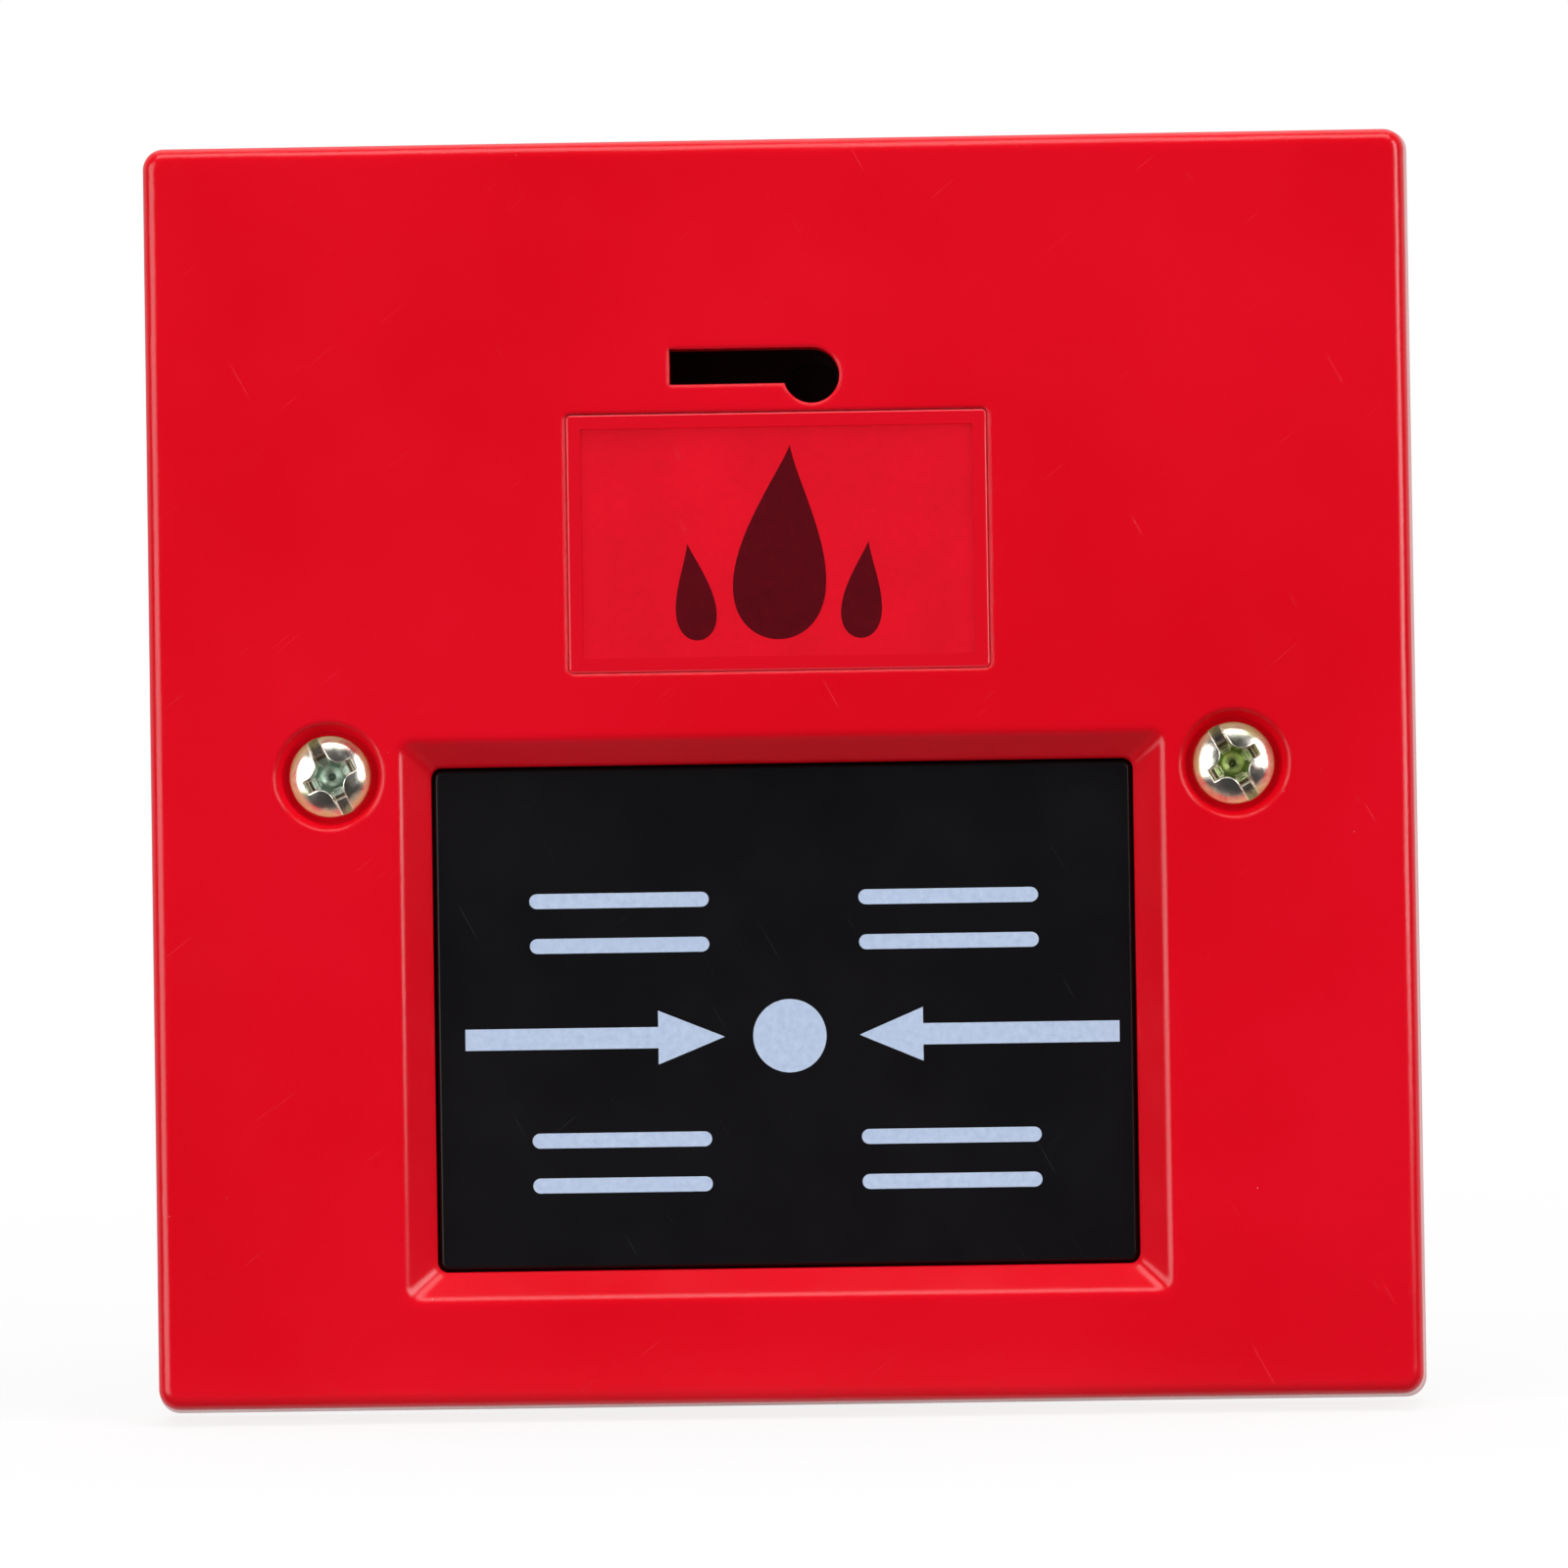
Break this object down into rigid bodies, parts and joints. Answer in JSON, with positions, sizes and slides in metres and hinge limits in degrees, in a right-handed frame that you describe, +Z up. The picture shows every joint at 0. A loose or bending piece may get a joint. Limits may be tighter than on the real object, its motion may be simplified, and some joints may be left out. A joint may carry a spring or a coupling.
{
  "type": "manual call point",
  "caption": "Square red flush call point with a black press panel, a red indicator window, a reset key slot and a wiring housing that sits in a wall box.",
  "frame": {"origin": "middle of the plate's rear rim, on the wall surface", "axes": "+X to the right seen from the front, +Y into the wall, +Z up"},
  "size_m": [0.086, 0.0351, 0.086],
  "materials": {
    "red_plastic": "gloss, moulded",
    "red_lens": "translucent gloss",
    "film": "printed film",
    "white_plastic": "satin white",
    "black_panel": "fine matt",
    "spring_steel": "drawn wire",
    "natural_plastic": "satin natural",
    "black_plastic": "moulded matt",
    "plated_steel": "zinc plated",
    "yellow_zinc": "yellow zinc plated, iridescent",
    "board_green": "solder mask",
    "led_red": "clear tinted epoxy",
    "tinned_wire": "tinned",
    "resistor_tan": "lacquered",
    "component_black": "epoxy",
    "sleeve_blue": "shrink sleeve",
    "terminal_green": "satin moulded",
    "brass": "stamped",
    "plunger_red": "satin",
    "copper_alloy": "rolled strip",
    "silver_contact": "silver plated",
    "wire_sleeve": "PVC insulation"
  },
  "bodies": {
    "plate": {"front_plate": "red_plastic", "indicator_lens": "red_lens", "legend_film": "film", "light_box": "white_plastic", "panel_springs": "spring_steel", "latch_springs": "spring_steel", "chassis": "black_plastic", "chassis_screws": "plated_steel", "rear_cover": "black_plastic", "cover_screws": "plated_steel", "fixing_screws": "yellow_zinc", "circuit_board": "board_green", "board_screws": "plated_steel", "indicator_leds": "led_red", "led_leads": "tinned_wire", "led_spacers": "black_plastic", "resistors": "resistor_tan", "diode": "component_black", "capacitor": "sleeve_blue", "address_chip": "component_black", "chip_leads": "tinned_wire", "terminal_block": "terminal_green", "terminal_clamps": "brass", "terminal_screws": "plated_steel", "terminal_pins": "tinned_wire", "switch_case": "component_black", "switch_cover": "component_black", "switch_terminals": "silver_contact", "switch_bracket": "plated_steel", "switch_screws": "plated_steel", "switch_nuts": "plated_steel", "bracket_screws": "plated_steel", "switch_wires": "wire_sleeve"},
    "press_panel": {"press_panel": "black_panel"},
    "latch_slider": {"latch_slider": "natural_plastic"},
    "switch_lever": {"switch_lever": "spring_steel"},
    "switch_plunger": {"switch_plunger": "plunger_red"},
    "switch_blade": {"switch_blade": "copper_alloy"}
  },
  "joints": [
    {"name": "panel_press", "type": "slide", "parent": "plate", "child": "press_panel", "axis": [0, 1, 0], "range_m": [0, 0.004], "deforming": ["panel_springs"]},
    {"name": "latch_rise", "type": "slide", "parent": "plate", "child": "latch_slider", "axis": [0, 0, 1], "range_m": [0, 0.003], "deforming": ["latch_springs"]},
    {"name": "lever_turn", "type": "hinge", "parent": "plate", "child": "switch_lever", "pos_m": [-0.0086, 0.0072, -0.017], "axis": [0, 0, 1], "range_deg": [0, 14.7]},
    {"name": "plunger_sink", "type": "slide", "parent": "plate", "child": "switch_plunger", "axis": [0, 1, 0], "range_m": [0, 0.00121]},
    {"name": "blade_tip", "type": "hinge", "parent": "plate", "child": "switch_blade", "pos_m": [-0.0064, 0.0126, -0.017], "axis": [0, 0, 1], "range_deg": [0, 2.1]}
  ],
  "couplings": [
    {"joint": "latch_rise", "follows": "panel_press", "ratio": 0.75},
    {"joint": "lever_turn", "follows": "panel_press", "rad_per_m": 63.705},
    {"joint": "plunger_sink", "follows": "panel_press", "ratio": 0.3},
    {"joint": "blade_tip", "follows": "panel_press", "rad_per_m": 8.7266}
  ]
}
